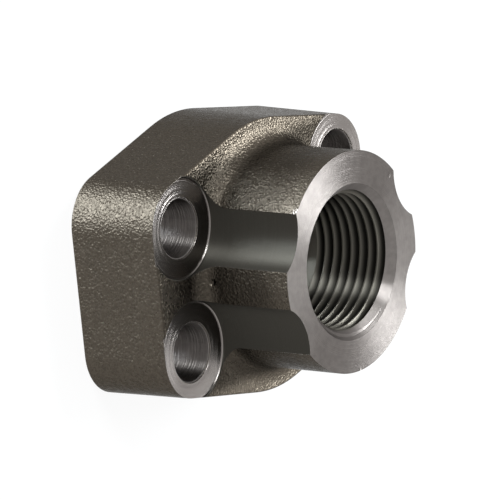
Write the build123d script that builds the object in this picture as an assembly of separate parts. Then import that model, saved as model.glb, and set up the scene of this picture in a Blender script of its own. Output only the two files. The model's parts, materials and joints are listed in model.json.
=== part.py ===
from build123d import *
import math
import os

# A forged steel flange adapter: a thick four-bolt pad with a round hub on it.
# The hub takes a taper pipe thread, and the pad seals against a pump or valve port.
# All lengths are millimetres. The origin is on the bore axis in the flat sealing face.
# +Z runs along the bore to the threaded mouth, +X along the wide bolt spacing.

# Bolt pattern of the three quarter inch pad, and the holes in it
bolt_spacing_x = 47.63
bolt_spacing_y = 22.23
bolt_hole_diameter = 10.3
bolt_hole_break = 0.3

# Outline of the pad, measured out from the bolt axes and from the hub
end_margin = 8.05
side_margin = 8.4
hub_margin = 5.0
corner_radius = 8.65
apex_radius = 29.0
draft_angle = 1.2
rim_rounding = 0.4

# Heights above the sealing face
pad_height = 17.6
hub_height = 18.2

# Hub, its blend into the pad and the round clearances cut down it for the bolt heads
hub_wall = 6.2
hub_blend_radius = 3.5
spot_face_diameter = 18.0
spot_face_depth = 0.45
cutter_nose_radius = 0.5

# Taper pipe thread, with its root diameter at the hub face.
# The start angle is where the groove begins at the foot, round from +X.
thread_root_diameter = 26.6
thread_pitch = 1.814
thread_height = 1.3
thread_root_flat = 0.08
thread_flank_angle = 30.0
thread_taper_angle = 1.79
thread_length = 16.0
thread_start_angle = -85.0
mouth_chamfer = 0.42

# Drilled hole at the foot of the thread, and the flow bore behind it
drilled_depth = 18.5
drill_point_angle = 118.0
flow_bore_diameter = 19.0

# Ring groove for the seal
groove_outer_diameter = 31.75
groove_width = 4.5
groove_depth = 2.8

# Sizes worked out from the ones above
overall_height = pad_height + hub_height
hub_radius = thread_root_diameter / 2 + hub_wall
pad_half_length = bolt_spacing_x / 2 + end_margin
pad_half_width = hub_radius + hub_margin
spot_face_level = pad_height - spot_face_depth
thread_root_radius = thread_root_diameter / 2
thread_taper = math.tan(math.radians(thread_taper_angle))
thread_crest_radius = thread_root_radius - thread_height
drilled_radius = thread_crest_radius - thread_length * thread_taper
draft_shrink = pad_height * math.tan(math.radians(draft_angle))
bolt_places = GridLocations(bolt_spacing_x, bolt_spacing_y, 2, 2)
cut_clearance = 1.0
crest_clearance = 0.05


def pad_outline():
    """Six-sided outline: flat ends, and long sides that rise to a rounded apex.

    Each long side is the line that touches the apex circle and a circle of
    side_margin about the nearest bolt axis.
    """
    apex_centre_y = pad_half_width - apex_radius
    reach_x = bolt_spacing_x / 2
    reach_y = bolt_spacing_y / 2 - apex_centre_y
    reach = math.hypot(reach_x, reach_y)
    lean = math.atan2(reach_x, reach_y) - math.acos((apex_radius - side_margin) / reach)
    apex_y = apex_centre_y + apex_radius / math.cos(lean)
    corner_y = apex_y - pad_half_length * math.tan(lean)
    points = [
        (pad_half_length, corner_y),
        (0, apex_y),
        (-pad_half_length, corner_y),
        (-pad_half_length, -corner_y),
        (0, -apex_y),
        (pad_half_length, -corner_y),
    ]
    outline = make_face(Polyline(*points, close=True))
    apexes = outline.vertices().sort_by(lambda v: abs(v.X))[:2]
    outline = fillet(apexes, apex_radius)
    corners = outline.vertices().sort_by(lambda v: abs(v.X))[-4:]
    return fillet(corners, corner_radius)


def forged_blank():
    """Pad and hub as they leave the die: drafted sides, rounded rim, blended hub."""
    pad = extrude(pad_outline(), pad_height, taper=draft_angle)
    rim = pad.faces().sort_by(Axis.Z)[-1].edges()
    pad = fillet(rim, rim_rounding)
    hub = Cylinder(hub_radius, overall_height, align=(Align.CENTER, Align.CENTER, Align.MIN))
    blank = pad + hub
    shelf = pad_half_width - draft_shrink - rim_rounding - hub_radius
    hub_root = blank.edges().filter_by(lambda e: e.is_closed).sort_by(Axis.Z)[0]
    return fillet(hub_root, min(hub_blend_radius, shelf))


def spot_face_cutter():
    """Round cutter with a small nose radius, run down each bolt axis past the hub."""
    height = overall_height - spot_face_level + cut_clearance
    cutter = Cylinder(spot_face_diameter / 2, height, align=(Align.CENTER, Align.CENTER, Align.MIN))
    nose = cutter.edges().filter_by(GeomType.CIRCLE).sort_by(Axis.Z)[0]
    return Pos(0, 0, spot_face_level) * fillet(nose, cutter_nose_radius)


def bolt_hole():
    """Through hole with its edge broken where it meets the spot face."""
    radius = bolt_hole_diameter / 2
    bottom = -cut_clearance
    profile = Polyline(
        (0, bottom),
        (radius, bottom),
        (radius, spot_face_level - bolt_hole_break),
        (radius + bolt_hole_break, spot_face_level),
        (radius + bolt_hole_break, spot_face_level + cut_clearance),
        (0, spot_face_level + cut_clearance),
        close=True,
    )
    return revolve(make_face(Plane.XZ * profile), Axis.Z)


def port():
    """Mouth cone, tapered bore at the thread's crest, drilled end, drill cone and flow bore.

    Heights in it are measured up from the hub face.
    """
    flow_radius = flow_bore_diameter / 2
    cone_height = (drilled_radius - flow_radius) / math.tan(math.radians(drill_point_angle / 2))
    mouth_radius = thread_root_radius + mouth_chamfer
    mouth_depth = (mouth_radius - thread_crest_radius) / (1 - thread_taper)
    bottom = -overall_height - cut_clearance
    profile = Polyline(
        (0, bottom),
        (flow_radius, bottom),
        (flow_radius, -drilled_depth - cone_height),
        (drilled_radius, -drilled_depth),
        (drilled_radius, -thread_length),
        (mouth_radius - mouth_depth, -mouth_depth),
        (mouth_radius, 0),
        (mouth_radius, cut_clearance),
        (0, cut_clearance),
        close=True,
    )
    return revolve(make_face(Plane.XZ * profile), Axis.Z)


def thread_groove():
    """One right-hand groove, carried up a cone from the foot of the thread and out past the face.

    Heights in it are measured up from the hub face.
    """
    start = thread_pitch / 2 - thread_length
    climb = thread_pitch - start
    start_radius = thread_root_radius + start * thread_taper
    path = Helix(
        thread_pitch, climb, start_radius, center=(0, 0, start), cone_angle=thread_taper_angle
    )
    depth = thread_height + crest_clearance
    half_root = thread_root_flat / 2
    half_mouth = half_root + depth * math.tan(math.radians(thread_flank_angle))
    section = Polyline(
        (start_radius, start + half_root),
        (start_radius, start - half_root),
        (start_radius - depth, start - half_mouth),
        (start_radius - depth, start + half_mouth),
        close=True,
    )
    groove = sweep(make_face(Plane.XZ * section), path=path, is_frenet=True)
    return Rot(0, 0, thread_start_angle) * groove


def seal_groove():
    """Square ring groove in the sealing face."""
    outer = groove_outer_diameter / 2
    ring = Circle(outer) - Circle(outer - groove_width)
    return extrude(Pos(0, 0, -cut_clearance) * ring, groove_depth + cut_clearance)


adapter = forged_blank()
adapter -= bolt_places * spot_face_cutter()
adapter -= bolt_places * bolt_hole()
adapter -= Pos(0, 0, overall_height) * (port() + thread_groove())
adapter -= seal_groove()

os.makedirs("parts", exist_ok=True)
export_step(adapter.solid(), "parts/flange_adapter.step")
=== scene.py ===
import json
from math import pi
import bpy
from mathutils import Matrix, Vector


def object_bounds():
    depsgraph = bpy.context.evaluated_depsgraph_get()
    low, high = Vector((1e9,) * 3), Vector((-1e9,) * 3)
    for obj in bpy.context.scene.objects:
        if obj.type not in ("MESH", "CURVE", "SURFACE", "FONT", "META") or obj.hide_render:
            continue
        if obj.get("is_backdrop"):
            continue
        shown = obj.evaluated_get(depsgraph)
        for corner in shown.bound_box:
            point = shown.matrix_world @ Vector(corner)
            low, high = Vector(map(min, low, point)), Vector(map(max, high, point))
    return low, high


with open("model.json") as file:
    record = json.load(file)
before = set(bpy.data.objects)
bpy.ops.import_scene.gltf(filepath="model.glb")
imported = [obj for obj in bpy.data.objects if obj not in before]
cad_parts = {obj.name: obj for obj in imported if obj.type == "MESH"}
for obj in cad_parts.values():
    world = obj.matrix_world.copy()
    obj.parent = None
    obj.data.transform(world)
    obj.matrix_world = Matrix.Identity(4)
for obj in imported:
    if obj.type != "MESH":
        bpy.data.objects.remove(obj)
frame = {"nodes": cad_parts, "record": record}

from types import SimpleNamespace

import bpy
from bpy.props import FloatProperty, FloatVectorProperty, PointerProperty
from mathutils import Matrix, Vector

bl_info = {
    "name": "Flange adapter finish",
    "version": (1, 0, 0),
    "blender": (4, 5, 0),
    "location": "3D View > Sidebar > Flange adapter",
    "description": "Gives the forged and cut steel its finishes and sets the studio",
    "category": "Object",
}

CAD_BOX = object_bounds()
BODY_NODE = "flange_adapter"
MM = 0.001


def mount_sizes(name):
    """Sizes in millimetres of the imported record's mount of that name."""
    return next(m for m in frame["record"]["mounts"] if m["name"] == name)["dims"]


# Places of the cuts in millimetres. Bolt holes and hub level come from the frame,
# and each reach lies just outside its tool's path.
BOLT_X = mount_sizes("bolt_pattern")["spacing_x_mm"] / 2
BOLT_Y = mount_sizes("bolt_pattern")["spacing_y_mm"] / 2
HOLE_REACH = mount_sizes("bolt_pattern")["hole_r_mm"] + 0.15
HUB_LEVEL = CAD_BOX[1][2] / MM
CUTTER_REACH = 9.03
CUTTER_WALL = 8.9
CUTTER_FLOOR = 17.1
MOUTH_REACH = 13.77
GROOVE_REACH = 15.92
GROOVE_FLOOR = 2.95

# A flat face counts as cut within this many millimetres of its level
FACE_MARGIN = 0.02
FACE_BLEND = 0.01

# The thread in millimetres: its top, its crest's radius at the hub face, and how much
# that radius shrinks with each millimetre down. The last two say how far below the crest
# the painted highlight on the crest begins to give way to painted shade, and where that
# painted shade is darkest.
THREAD_TOP = HUB_LEVEL - 1.6
CREST_RADIUS = 12.0
CREST_TAPER = 1 / 32
CREST_DEPTH = 0.05
ROOT_DEPTH = 0.9

# Painted light on the skin, in millimetres: the levels of the pad's top up to the hub's foot,
# the band beside the pad's long edges that takes a painted highlight, and the levels where
# painted shade on the hub's side begins and fades out
PAD_TOP = 17.35
PAD_TOP_BLEND = 0.15
FOOT_LEVEL = 19.2
FOOT_BLEND = 0.8
EDGE_BAND = (18.5, 21.5)
PAINTED_SHADE_LEVEL = 19.0
PAINTED_SHADE_FADE = (35.5, 28.5)

# Small marks: a pit in the skin beside the hub, a painted glint at a burr where a cutter
# left the hub, and nicks in the edge of the hub face. Places and depths are in millimetres,
# and each rim is the two distances between which a mark comes in.
PIT = (-19.67, 0.53, 19.98)
PIT_DEPTH = 0.3
PIT_RIM = (0.8, 0.2)
BURR = (-14.6, 12.55, 35.6)
BURR_RIM = (1.2, 0.4)
NICKS = ((13.4, 12.0, 35.8), (-0.8, -19.3, 35.8))
NICK_DEPTH = 0.05
NICK_RIM = (0.5, 0.1)

# Most of a soft noise lies between the first two values, and most of a crater's depth
# between the next two. The painted glint at the burr is broken off where the fine noise is
# low.
NOISE_SPAN = (0.3, 0.7)
CRATER_SPAN = (0.02, 0.32)
BURR_SPAN = (0.45, 0.6)

# Grain of the skin: how many waves of fine and coarse noise go to one crater, the share
# of the grain's depth that the craters and each noise have, and how far the skin's
# roughness swings either way
FINE_WAVES = 1.6
COARSE_WAVES = 0.4
CRATER_SHARE = 0.85
FINE_SHARE = 0.6
COARSE_SHARE = 0.4
ROUGHNESS_SWING = 0.05

# Slow waves that the die left, and patches on cut steel: how many to a millimetre, and
# the height of the waves in millimetres
DIE_WAVES = 0.12
DIE_WAVE_HEIGHT = 0.25
CUT_PATCHES = 0.8

# How much shallower than elsewhere the tool's rings are inside the port
PORT_CALM = 0.85

# Tones: how much lighter or darker than its own colour a place is. A pair runs from the
# middle of a crater to its rim, from dark to pale patches, or from the painted highlight on
# a thread's crest to the painted shade in its root.
CRATER_TONES = (0.84, 1.14)
PATCH_TONES = (0.94, 1.06)
# Painted highlight: the pad's long edges are lighter by the first share. Painted shade: the
# pad's top away from those edges and the hub's side low down are darker by the second.
EDGE_HIGHLIGHT_SHARE = 0.75
PAINTED_SHADE_SHARE = 0.4
# Painted glint at the burr
BURR_GLINT_TONE = 3.0
CUT_TONES = (0.92, 1.08)
# Painted sheen on the spot faces, which are lighter than the other cut steel
SPOT_FACE_SHEEN = 1.35
# Painted highlight on the thread's crests and painted shade in its roots
CREST_HIGHLIGHT_ROOT_SHADE = (2.0, 0.5)

# Metal would whiten at grazing angles without this tint, which is half of white
GRAZING_TINT = (0.5, 0.5, 0.5, 1.0)

# Turned steel's gloss: how far it spreads across the rings, and a quarter turn, so that
# it spreads across them and not along them
RING_SPREAD = 0.95
QUARTER_TURN = 0.25

# Soft boxes: direction from the part, width in metres, radiance and colour
WHITE = (0.92, 0.97, 1.0)
COOL_WHITE = (0.84, 0.93, 1.0)
SOFT_BOXES = {
    "left_box": ((-0.52, 0.63, -0.58), 0.36, 12.5, COOL_WHITE),
    "right_box": ((0.536, 0.195, 0.821), 0.18, 26.0, WHITE),
    "top_box": ((0.40, -0.12, 0.91), 0.35, 2.6, WHITE),
    "side_box": ((-0.324, 0.694, 0.643), 0.16, 22.0, WHITE),
}

# The floor: how far it lies under the part, and the colour that its lit share has
FLOOR_GAP = 0.05 * MM
FLOOR_PAINT = (0.9, 0.9, 0.9, 1.0)
PURE_WHITE = (1.0, 1.0, 1.0, 1.0)


# Sizes and colours


class SteelFinish(bpy.types.PropertyGroup):
    """Colours and surface detail of the forged skin and of the machined cuts."""

    skin_colour: FloatVectorProperty(
        name="Forged skin",
        description="Colour of the blasted forging skin",
        subtype="COLOR",
        default=(0.074, 0.063, 0.050),
    )
    cut_colour: FloatVectorProperty(
        name="Cut steel",
        description="Colour of freshly faced and drilled steel",
        subtype="COLOR",
        default=(0.165, 0.150, 0.141),
    )
    # Painted shade: cut steel darkened on the cutter walls and in the thread
    shaded_cut_colour: FloatVectorProperty(
        name="Dull cuts",
        description="Colour of the cutter walls and of the thread, which hold oil",
        subtype="COLOR",
        default=(0.066, 0.062, 0.053),
    )
    skin_roughness: FloatProperty(
        name="Skin roughness",
        description="Roughness of the forging skin between its grains",
        default=0.28,
        subtype="FACTOR",
    )
    cut_roughness: FloatProperty(
        name="Cut roughness",
        description="Roughness of cut steel across its tool lines",
        default=0.36,
        subtype="FACTOR",
    )
    floor_roughness: FloatProperty(
        name="Spot face roughness",
        description="Roughness of the spot faces round the bolt holes",
        default=0.22,
        subtype="FACTOR",
    )
    wall_roughness: FloatProperty(
        name="Cutter wall roughness",
        description="Roughness of the cutter walls across their rings",
        default=0.55,
        subtype="FACTOR",
    )
    hole_roughness: FloatProperty(
        name="Bolt hole roughness",
        description="Roughness of the bolt holes across their scores",
        default=0.40,
        subtype="FACTOR",
    )
    grain: FloatProperty(
        name="Grain",
        description="Size of the craters that the blasting leaves",
        default=0.38 * MM,
        unit="LENGTH",
    )
    grain_depth: FloatProperty(
        name="Grain depth",
        description="Depth of the craters",
        default=0.12 * MM,
        unit="LENGTH",
    )
    ring: FloatProperty(
        name="Tool ring",
        description="Distance between the rings that a cutting tool leaves",
        default=0.16 * MM,
        unit="LENGTH",
    )
    face_depth: FloatProperty(
        name="Face ring depth",
        description="Height of the rings on faced surfaces",
        default=0.04 * MM,
        unit="LENGTH",
    )
    wall_depth: FloatProperty(
        name="Wall ring depth",
        description="Height of the rings on the walls that the spot facing cutter leaves",
        default=0.05 * MM,
        unit="LENGTH",
    )
    drill_step: FloatProperty(
        name="Drill step",
        description="Distance between the scores that the drill leaves in a bolt hole",
        default=0.36 * MM,
        unit="LENGTH",
    )
    drill_depth: FloatProperty(
        name="Drill score depth",
        description="Height of the drill's scores",
        default=0.24 * MM,
        unit="LENGTH",
    )


class StageSizes(bpy.types.PropertyGroup):
    """The camera, the floor and the soft boxes."""

    camera_place: FloatVectorProperty(
        name="Camera place",
        description="Where the camera stands",
        subtype="TRANSLATION",
        unit="LENGTH",
        default=(-0.94472, 0.31157, 0.71940),
    )
    camera_up: FloatVectorProperty(
        name="Camera up",
        description="Direction that is up in the picture",
        subtype="DIRECTION",
        default=(0.26308, 0.96209, -0.07188),
    )
    camera_aim: FloatVectorProperty(
        name="Camera aim",
        description="Direction that the camera looks in",
        subtype="DIRECTION",
        default=(0.77478, -0.25508, -0.57848),
    )
    lens: FloatProperty(
        name="Lens",
        description="Focal length in millimetres",
        default=500.6,
    )
    floor_size: FloatProperty(
        name="Floor size",
        description="Width of the floor",
        default=6.0,
        unit="LENGTH",
    )
    shadow_share: FloatProperty(
        name="Shadow share",
        description="How much of the floor's white is lit by the lamps, and so takes a shadow",
        default=0.08,
        subtype="FACTOR",
    )
    room_light: FloatProperty(
        name="Room light",
        description="Strength of the even light that dull surfaces get from all round",
        default=0.4,
    )
    lamp_distance: FloatProperty(
        name="Lamp distance",
        description="How far the soft boxes stand from the part",
        default=0.5,
        unit="LENGTH",
    )


# Shader expressions


class Wire:
    """A value in a shader tree. Arithmetic on wires adds Math nodes."""

    def __init__(self, tree, socket=None):
        self.tree = tree
        self.socket = socket

    def node(self, kind, settings, sockets, output=0):
        """Adds one node: its settings first, then its sockets, and returns one output."""
        made = self.tree.nodes.new(kind)
        for name, value in settings.items():
            setattr(made, name, value)
        for key, value in sockets.items():
            if isinstance(value, Wire):
                self.tree.links.new(value.socket, made.inputs[key])
            else:
                made.inputs[key].default_value = value
        return Wire(self.tree, made.outputs[output] if made.outputs else None)

    def math(self, operation, *values):
        """One Math node on the given values, in order."""
        settings = {"operation": operation}
        return self.node("ShaderNodeMath", settings, dict(enumerate(values)))

    def __add__(self, other):
        return self.math("ADD", self, other)

    def __radd__(self, other):
        return self.math("ADD", other, self)

    def __sub__(self, other):
        return self.math("SUBTRACT", self, other)

    def __rsub__(self, other):
        return self.math("SUBTRACT", other, self)

    def __mul__(self, other):
        return self.math("MULTIPLY", self, other)

    def __rmul__(self, other):
        return self.math("MULTIPLY", other, self)

    def __pow__(self, other):
        return self.math("POWER", self, other)

    def __abs__(self):
        return self.math("ABSOLUTE", self)

    def most(self, other):
        """The larger of two values."""
        return self.math("MAXIMUM", self, other)

    def step(self, low, high, start=0.0, end=1.0):
        """Runs smoothly from start to end as this value goes from low to high."""
        settings = {"interpolation_type": "SMOOTHSTEP"}
        sockets = {"Value": self, 1: low, 2: high, 3: start, 4: end}
        return self.node("ShaderNodeMapRange", settings, sockets)

    def under(self, limit, blend=0.03):
        """One where this value is below the limit, else nothing."""
        return self.step(limit + blend, limit - blend)

    def over(self, limit, blend=0.03):
        """One where this value is above the limit, else nothing."""
        return self.step(limit - blend, limit + blend)

    def blend(self, first, second):
        """A number between two numbers, with this value as the share of the second."""
        return self * (second - first) + first

    def tint(self, first, second):
        """A colour between two colours, with this value as the share of the second."""
        settings = {"data_type": "RGBA"}
        sockets = {0: self, 6: first, 7: second}
        return self.node("ShaderNodeMix", settings, sockets, output=2)

    def times_colour(self, colour):
        """A colour made lighter or darker by this value."""
        return self.node("ShaderNodeVectorMath", {"operation": "SCALE"}, {0: colour, 3: self})

    def along(self, scale, detail=2.0):
        """Uneven lines along this value: smooth noise of one dimension, from 0 to 1."""
        settings = {"noise_dimensions": "1D"}
        sockets = {"W": self, "Scale": scale, "Detail": detail}
        return self.node("ShaderNodeTexNoise", settings, sockets)

    def noise(self, scale, detail=2.0, roughness=0.5):
        """Smooth noise in space, from 0 to 1, when this wire is a place."""
        sockets = {"Vector": self, "Scale": scale, "Detail": detail, "Roughness": roughness}
        return self.node("ShaderNodeTexNoise", {}, sockets)

    def craters(self, scale):
        """Round craters side by side in space, each a bowl, when this wire is a place."""
        sockets = {"Vector": self, "Scale": scale}
        reach = self.node("ShaderNodeTexVoronoi", {}, sockets, output="Distance")
        return reach * reach

    def away_from(self, spot):
        """Distance of a place from a spot."""
        settings = {"operation": "DISTANCE"}
        return self.node("ShaderNodeVectorMath", settings, {0: self, 1: spot}, output="Value")


def shade_of(colour, share=1.0):
    """Four numbers for a colour socket: a colour made lighter or darker by a share."""
    return (*[share * c for c in colour], 1.0)


def start_material(name):
    """An empty material, and a wire that stands for its tree."""
    material = bpy.data.materials.new(name)
    material.use_nodes = True
    material.node_tree.nodes.clear()
    return material, Wire(material.node_tree)


def place_in_mm(shade):
    """Object coordinates in millimetres: the vector, then its x, y and z."""
    place = shade.node("ShaderNodeTexCoord", {}, {}, output="Object")
    place = shade.node("ShaderNodeVectorMath", {"operation": "SCALE"}, {0: place, 3: 1 / MM})
    split = [shade.node("ShaderNodeSeparateXYZ", {}, {0: place}, output=k) for k in range(3)]
    return place, *split


def far(first, second):
    """Length of a flat vector from its two parts."""
    return (first * first + second * second) ** 0.5


# Steel


def find_cuts(x, y, z):
    """Tells the cuts apart by place: each mask is one where its tool has been, else nothing.

    The bolt holes and their cutters go by the distance from the nearest bolt axis, the
    port and the seal groove by the distance from the port axis, and all by height.
    """
    from_bolt = far(abs(x) - BOLT_X, abs(y) - BOLT_Y)
    from_axis = far(x, y)
    in_hole = from_bolt.under(HOLE_REACH)
    in_cutter = from_bolt.under(CUTTER_REACH) * z.over(CUTTER_FLOOR)
    on_wall = in_cutter * from_bolt.over(CUTTER_WALL)
    on_hub = z.over(HUB_LEVEL - FACE_MARGIN, FACE_BLEND)
    in_port = from_axis.under(MOUTH_REACH)
    on_seal = z.under(FACE_MARGIN, FACE_BLEND)
    in_groove = from_axis.under(GROOVE_REACH) * z.under(GROOVE_FLOOR)
    round_bolt = in_cutter.most(in_hole)
    return SimpleNamespace(
        from_bolt=from_bolt,
        from_axis=from_axis,
        in_hole=in_hole,
        on_wall=on_wall,
        on_hub=on_hub,
        in_port=in_port,
        round_bolt=round_bolt,
        anywhere=round_bolt.most(on_hub).most(in_port).most(on_seal).most(in_groove),
        on_spot_face=in_cutter * (1.0 - on_wall) * (1.0 - in_hole),
        in_thread=in_port * z.under(THREAD_TOP) * z.over(GROOVE_FLOOR),
    )


def forged_skin(finish, place, y, z):
    """Colour, height in millimetres and roughness of the blasted skin.

    The height is craters with fine and coarse noise, over slow waves left by the die,
    less one pit. The skin has a painted highlight along the pad's long edges, and painted
    shade on the pad's top away from those edges and round the foot of the hub, fading out up
    the hub's side.
    """
    fine = place.noise(FINE_WAVES * MM / finish.grain, 2.0, 0.55)
    coarse = place.noise(COARSE_WAVES * MM / finish.grain, 1.0)
    slow = place.noise(DIE_WAVES, 1.0)
    craters = place.craters(MM / finish.grain)

    on_top = z.over(PAD_TOP, PAD_TOP_BLEND) * z.under(FOOT_LEVEL, FOOT_BLEND)
    edge = abs(y).step(*EDGE_BAND)
    round_hub = z.over(PAINTED_SHADE_LEVEL, FOOT_BLEND) * z.step(*PAINTED_SHADE_FADE)
    # Painted shade on the pad's top away from its long edges and round the hub's foot, fading
    # out up the hub's side
    scale = on_top.most(round_hub) * (1.0 - edge)
    # Painted highlight along the pad's long edges, together with the painted shade
    painted_light_tone = (1.0 + EDGE_HIGHLIGHT_SHARE * on_top * edge) * (1.0 - PAINTED_SHADE_SHARE * scale)
    crater_tone = craters.step(*CRATER_SPAN, *CRATER_TONES)
    grain_tone = crater_tone * coarse.step(*NOISE_SPAN, *PATCH_TONES)
    tint = (painted_light_tone * grain_tone).times_colour(finish.skin_colour)
    # A painted glint at the burr, brighter than cut steel
    burr_glint = place.away_from(BURR).step(*BURR_RIM) * fine.step(*BURR_SPAN)
    tint = burr_glint.tint(tint, shade_of(finish.cut_colour, BURR_GLINT_TONE))

    grain = craters * CRATER_SHARE + fine * FINE_SHARE + coarse * COARSE_SHARE
    height = grain * (finish.grain_depth / MM) + slow * DIE_WAVE_HEIGHT
    height = height - PIT_DEPTH * place.away_from(PIT).step(*PIT_RIM)
    dull = finish.skin_roughness + ROUGHNESS_SWING
    bright = finish.skin_roughness - ROUGHNESS_SWING
    return tint, height, coarse.step(*NOISE_SPAN, dull, bright)


def tool_lines(finish, cuts, place, z):
    """Height in millimetres of the tool's rings, the drill's scores and the nicks.

    The rings are uneven lines along radius plus height, which runs on over floors and
    walls alike.
    """
    line = cuts.round_bolt.blend(cuts.from_axis, cuts.from_bolt) + z
    ring_depth = cuts.on_wall.blend(finish.face_depth / MM, finish.wall_depth / MM)
    ring_depth = ring_depth * (1.0 - PORT_CALM * cuts.in_port * (1.0 - cuts.on_hub))
    scores = line.along(MM / finish.drill_step, 1.0) * (finish.drill_depth / MM)
    height = line.along(MM / finish.ring) * ring_depth + cuts.in_hole * scores
    for nick in NICKS:
        height = height - NICK_DEPTH * place.away_from(nick).step(*NICK_RIM)
    return height


def cut_colours(finish, cuts, place, z):
    """Colour of the cuts: patchy steel, spot faces lightened as painted sheen, and cutter
    walls and thread darkened as painted shade.

    In the thread the crests carry a painted highlight and the roots painted shade.
    """
    dark, pale = [shade_of(finish.cut_colour, tone) for tone in CUT_TONES]
    tint = place.noise(CUT_PATCHES, 3.0).step(*NOISE_SPAN).tint(dark, pale)
    # Painted sheen: the spot faces lighter than the rest of the cut steel
    tint = cuts.on_spot_face.tint(tint, shade_of(finish.cut_colour, SPOT_FACE_SHEEN))
    # In the thread: a painted highlight on the crests and painted shade in the roots
    below_crest = cuts.from_axis - CREST_RADIUS + (HUB_LEVEL - z) * CREST_TAPER
    crest_and_root_tone = below_crest.step(CREST_DEPTH, ROOT_DEPTH, *CREST_HIGHLIGHT_ROOT_SHADE)
    painted_thread_tone = cuts.in_thread.blend(1.0, crest_and_root_tone)
    # Painted shade darkens the cutter walls and the thread
    painted_shade_tint = painted_thread_tone.times_colour(finish.shaded_cut_colour)
    return cuts.on_wall.most(cuts.in_thread).tint(tint, painted_shade_tint)


def steel(shade, colour, roughness, normal, gloss):
    """Bare metal, with what is special about its gloss."""
    sockets = {
        "Base Color": colour,
        "Metallic": 1.0,
        "Specular Tint": GRAZING_TINT,
        "Roughness": roughness,
        "Normal": normal,
        **gloss,
    }
    return shade.node("ShaderNodeBsdfPrincipled", {}, sockets)


def body_steel(finish):
    """Forged skin outside the cuts, and cut steel where a tool has been.

    One bump takes the heights of both. The skin and the spot faces have a plain gloss.
    The other cuts have a turned one, which spreads across their rings.
    """
    material, shade = start_material("forged_and_cut_steel")
    place, x, y, z = place_in_mm(shade)
    cuts = find_cuts(x, y, z)
    cut = cuts.anywhere
    skin_tint, skin_height, skin_rough = forged_skin(finish, place, y, z)
    cut_height = tool_lines(finish, cuts, place, z)
    cut_tint = cut_colours(finish, cuts, place, z)
    height = cut.blend(skin_height, cut_height)
    bump = {"Strength": 1.0, "Distance": MM, "Height": height}
    normal = shade.node("ShaderNodeBump", {}, bump)

    tint = cut.tint(skin_tint, cut_tint)
    plain_rough = cut.blend(skin_rough, finish.floor_roughness)
    plain = steel(shade, tint, plain_rough, normal, {})
    turned_rough = cuts.on_wall.blend(finish.cut_roughness, finish.wall_roughness)
    turned_rough = cuts.in_hole.blend(turned_rough, finish.hole_roughness)
    spread = {"Anisotropic": RING_SPREAD, "Anisotropic Rotation": QUARTER_TURN}
    turned = steel(shade, cut_tint, turned_rough, normal, spread)
    parts = {0: cut * (1.0 - cuts.on_spot_face), 1: plain, 2: turned}
    surface = shade.node("ShaderNodeMixShader", {}, parts)
    shade.node("ShaderNodeOutputMaterial", {}, {"Surface": surface})
    return material


class FLANGE_OT_body(bpy.types.Operator):
    """Give the forged body its skin and its machined cuts"""

    bl_idname = "flange.body"
    bl_label = "Finish the body"

    def execute(self, context):
        body = frame["nodes"][BODY_NODE]
        body.data.materials.clear()
        body.data.materials.append(body_steel(context.scene.steel_finish))
        return {"FINISHED"}


# Stage


def floor_paint(share):
    """White to the camera, with a share of it lit by the lamps so that it takes a shadow."""
    material, shade = start_material("pale_floor")
    lit = shade.node("ShaderNodeBsdfDiffuse", {}, {"Color": FLOOR_PAINT})
    white = shade.node("ShaderNodeEmission", {}, {"Color": PURE_WHITE, "Strength": 1.0})
    surface = shade.node("ShaderNodeMixShader", {}, {0: 1.0 - share, 1: lit, 2: white})
    shade.node("ShaderNodeOutputMaterial", {}, {"Surface": surface})
    return material


def lay_floor(size):
    """A flat sheet just under the part, which lets lamps below it shine through."""
    half = size.floor_size / 2
    corners = [(-half, -half), (half, -half), (half, half), (-half, half)]
    sheet = bpy.data.meshes.new("floor")
    sheet.from_pydata([(x, y, -FLOOR_GAP) for x, y in corners], [], [(0, 1, 2, 3)])
    sheet.materials.append(floor_paint(size.shadow_share))
    floor = bpy.data.objects.new("floor", sheet)
    bpy.context.scene.collection.objects.link(floor)
    floor.visible_glossy = False
    floor.visible_diffuse = False
    floor.visible_shadow = False
    floor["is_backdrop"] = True


def light_room(room_light):
    """An even world: white to the camera and in reflections, and dimmer on dull surfaces."""
    world = bpy.data.worlds.new("room")
    world.use_nodes = True
    world.node_tree.nodes.clear()
    shade = Wire(world.node_tree)
    rays = ("Is Camera Ray", "Is Glossy Ray", "Is Transmission Ray")
    paths = [shade.node("ShaderNodeLightPath", {}, {}, output=ray) for ray in rays]
    camera, glossy, through = paths
    strength = camera.most(glossy).most(through).blend(room_light, 1.0)
    glow = {"Color": PURE_WHITE, "Strength": strength}
    light = shade.node("ShaderNodeBackground", {}, glow)
    shade.node("ShaderNodeOutputWorld", {}, {"Surface": light})
    bpy.context.scene.world = world


def soft_box(name, toward, distance, side, radiance, colour):
    """A square area lamp in the given direction, turned to face the part."""
    lamp = bpy.data.lights.new(name, "AREA")
    lamp.shape = "SQUARE"
    lamp.size = side
    lamp.energy = radiance * pi * side * side
    lamp.color = colour
    box = bpy.data.objects.new(name, lamp)
    toward = Vector(toward).normalized()
    middle = Vector((0.0, 0.0, CAD_BOX[1][2] / 2))
    turn = toward.to_track_quat("Z", "Y").to_matrix().to_4x4()
    box.matrix_world = Matrix.Translation(middle + toward * distance) @ turn
    box.visible_camera = False
    bpy.context.scene.collection.objects.link(box)


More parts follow.
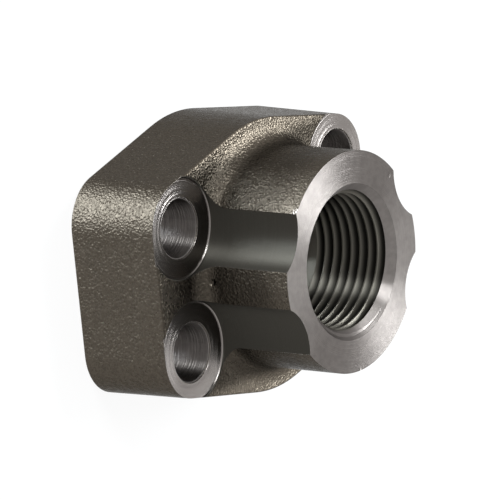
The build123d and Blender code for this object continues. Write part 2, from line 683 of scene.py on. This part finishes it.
def set_camera(size):
    """A long lens at the photograph's angle."""
    lens = bpy.data.cameras.new("camera")
    lens.lens = size.lens
    lens.sensor_width = 36.0
    lens.clip_start = 0.01
    lens.clip_end = 10.0
    camera = bpy.data.objects.new("camera", lens)
    back = -Vector(size.camera_aim).normalized()
    right = Vector(size.camera_up).cross(back).normalized()
    turn = Matrix((right, back.cross(right), back)).transposed().to_4x4()
    camera.matrix_world = Matrix.Translation(size.camera_place) @ turn
    bpy.context.scene.collection.objects.link(camera)
    bpy.context.scene.camera = camera


class FLANGE_OT_stage(bpy.types.Operator):
    """Set the floor, the soft boxes, the room light and the camera"""

    bl_idname = "flange.stage"
    bl_label = "Set the stage"

    def execute(self, context):
        size = context.scene.stage_sizes
        lay_floor(size)
        light_room(size.room_light)
        for name, (toward, side, radiance, colour) in SOFT_BOXES.items():
            soft_box(name, toward, size.lamp_distance, side, radiance, colour)
        set_camera(size)
        context.scene.view_settings.view_transform = "Standard"
        return {"FINISHED"}


class FLANGE_PT_panel(bpy.types.Panel):
    """Sizes, colours and pieces of the flange adapter"""

    bl_idname = "FLANGE_PT_panel"
    bl_label = "Flange adapter"
    bl_space_type = "VIEW_3D"
    bl_region_type = "UI"
    bl_category = "Flange adapter"

    def draw(self, context):
        for group in GROUPS:
            box = self.layout.box()
            for name in GROUPS[group].__annotations__:
                box.prop(getattr(context.scene, group), name)
        for operator in OPERATORS:
            self.layout.operator(operator.bl_idname)


GROUPS = {"steel_finish": SteelFinish, "stage_sizes": StageSizes}
OPERATORS = (FLANGE_OT_body, FLANGE_OT_stage)


def register():
    """Adds the groups of sizes, the operators and the panel."""
    for group in GROUPS:
        bpy.utils.register_class(GROUPS[group])
        setattr(bpy.types.Scene, group, PointerProperty(type=GROUPS[group]))
    for entry in (*OPERATORS, FLANGE_PT_panel):
        bpy.utils.register_class(entry)


def unregister():
    """Takes them away again."""
    for entry in (FLANGE_PT_panel, *reversed(OPERATORS)):
        bpy.utils.unregister_class(entry)
    for group in reversed(GROUPS):
        delattr(bpy.types.Scene, group)
        bpy.utils.unregister_class(GROUPS[group])


def main():
    """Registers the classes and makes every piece."""
    register()
    bpy.ops.flange.body()
    bpy.ops.flange.stage()
    boxes = {"cad": CAD_BOX, "visual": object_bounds()}
    boxes = {k: [[float(c) for c in corner] for corner in v] for k, v in boxes.items()}


if __name__ == "__main__":
    main()
